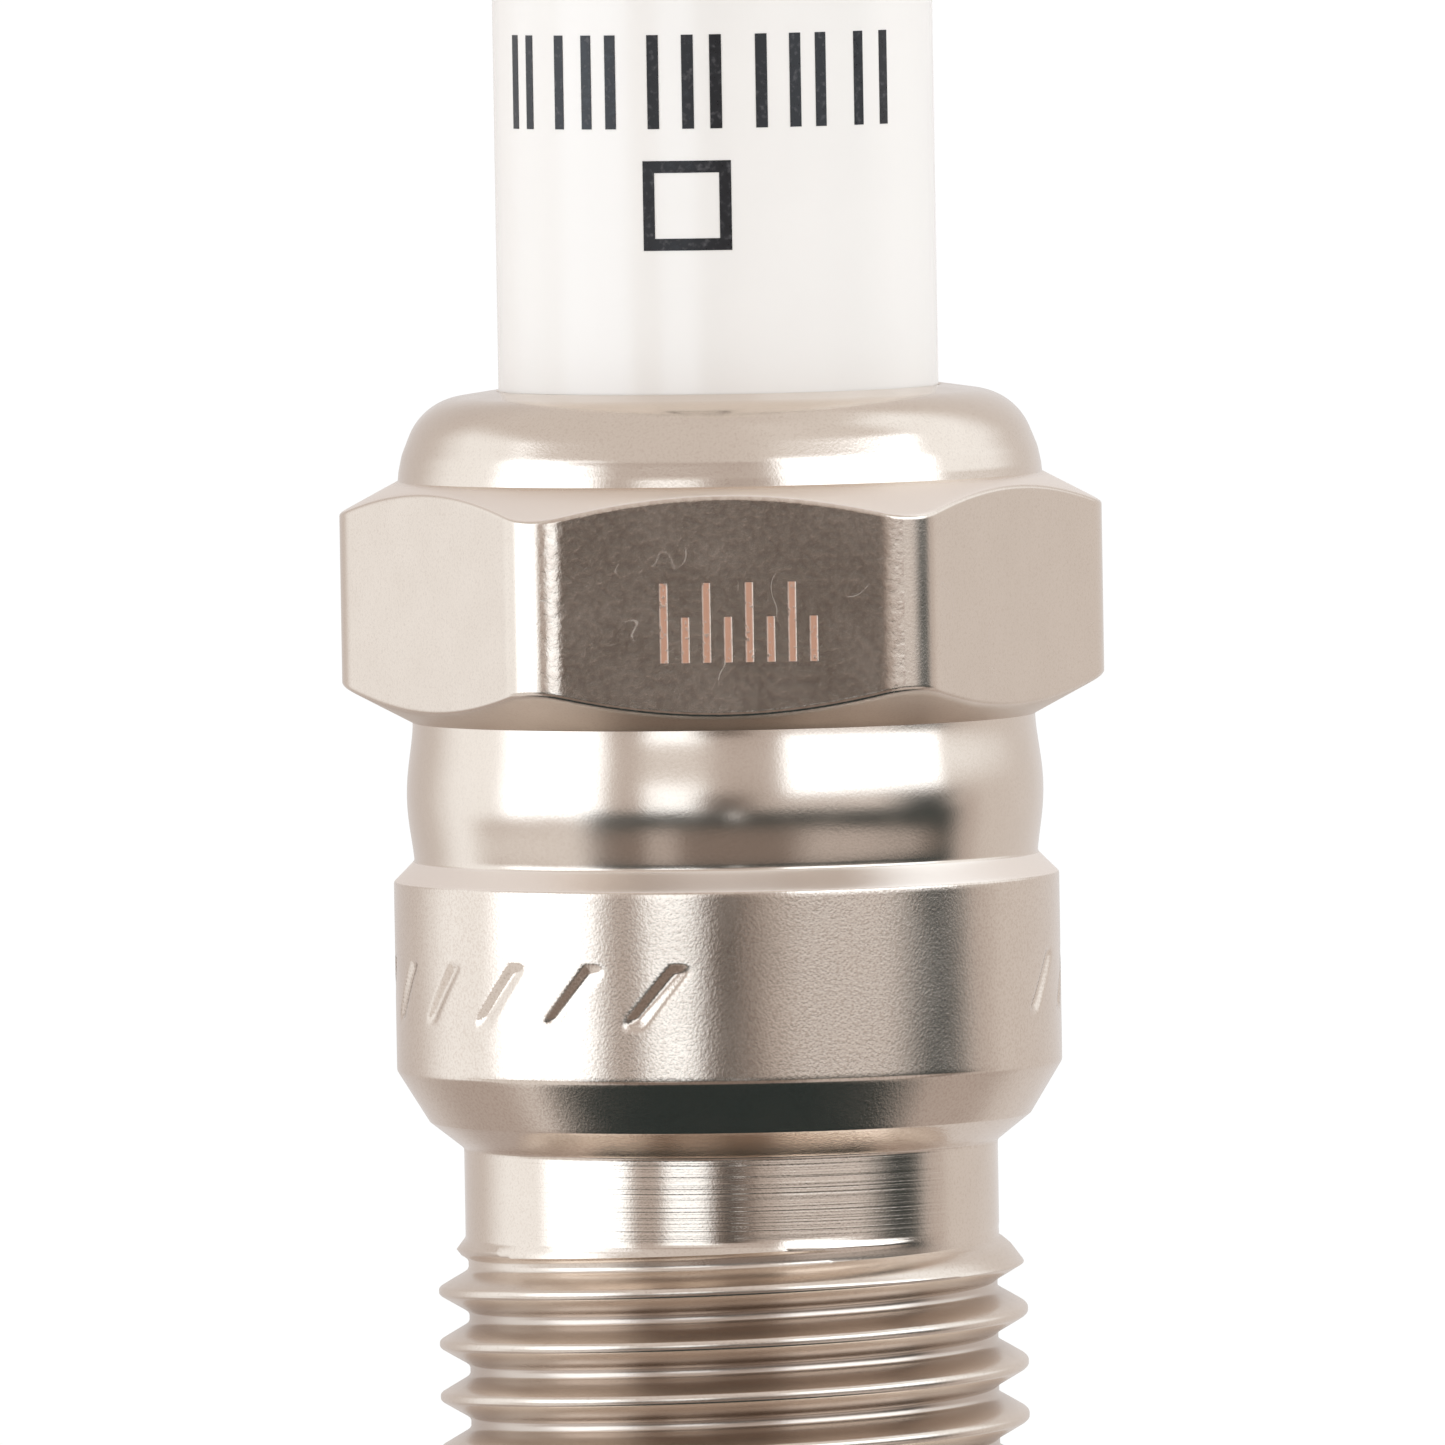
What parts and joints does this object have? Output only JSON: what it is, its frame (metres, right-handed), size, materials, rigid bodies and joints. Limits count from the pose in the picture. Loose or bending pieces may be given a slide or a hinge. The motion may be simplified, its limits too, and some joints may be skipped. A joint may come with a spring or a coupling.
{
  "type": "spark plug",
  "caption": "Spark plug with a conical seat, threaded steel shell, hexagon, white ceramic insulator, J-shaped ground electrode and screw-on terminal nut.",
  "frame": {"origin": "on the plug's axis, in the gauge plane of the conical seat, where the cone is 14.8 mm across", "axes": "+Z along the plug's axis, from the firing end up towards the terminal; a flat of the hexagon faces -Y; the ground electrode's post is on the +X side"},
  "size_m": [0.018, 0.016, 0.0848],
  "materials": {
    "plated_shell": "bright nickel plating with a fine satin grain",
    "glazed_alumina": "gloss white glaze",
    "packing_steel": "plain drawn wire",
    "talc": "pressed powder",
    "stud_steel": "plated steel",
    "glass_seal": "copper filled glass",
    "resistor_body": "carbon filled glass",
    "electrode_nickel": "matt nickel alloy",
    "copper_core": "copper",
    "tip_weld": "laser weld bead",
    "iridium": "ground iridium alloy",
    "platinum": "ground platinum alloy",
    "terminal_plating": "nickel plating with turning lines"
  },
  "bodies": {
    "plug": {"metal_shell": "plated_shell", "insulator": "glazed_alumina", "upper_packing_ring": "packing_steel", "lower_packing_ring": "packing_steel", "talc_packing": "talc", "seat_washer": "packing_steel", "terminal_stud": "stud_steel", "upper_glass_seal": "glass_seal", "resistor": "resistor_body", "lower_glass_seal": "glass_seal", "center_electrode": "electrode_nickel", "center_electrode_core": "copper_core", "firing_tip_weld": "tip_weld", "iridium_tip": "iridium", "ground_electrode": "electrode_nickel", "ground_electrode_core": "copper_core", "ground_pad": "platinum"},
    "terminal_nut": {"terminal_nut": "terminal_plating"}
  },
  "joints": [
    {"name": "terminal_nut_removal", "type": "slide", "parent": "plug", "child": "terminal_nut", "axis": [0, 0, 1], "range_m": [0, 0.009]}
  ]
}
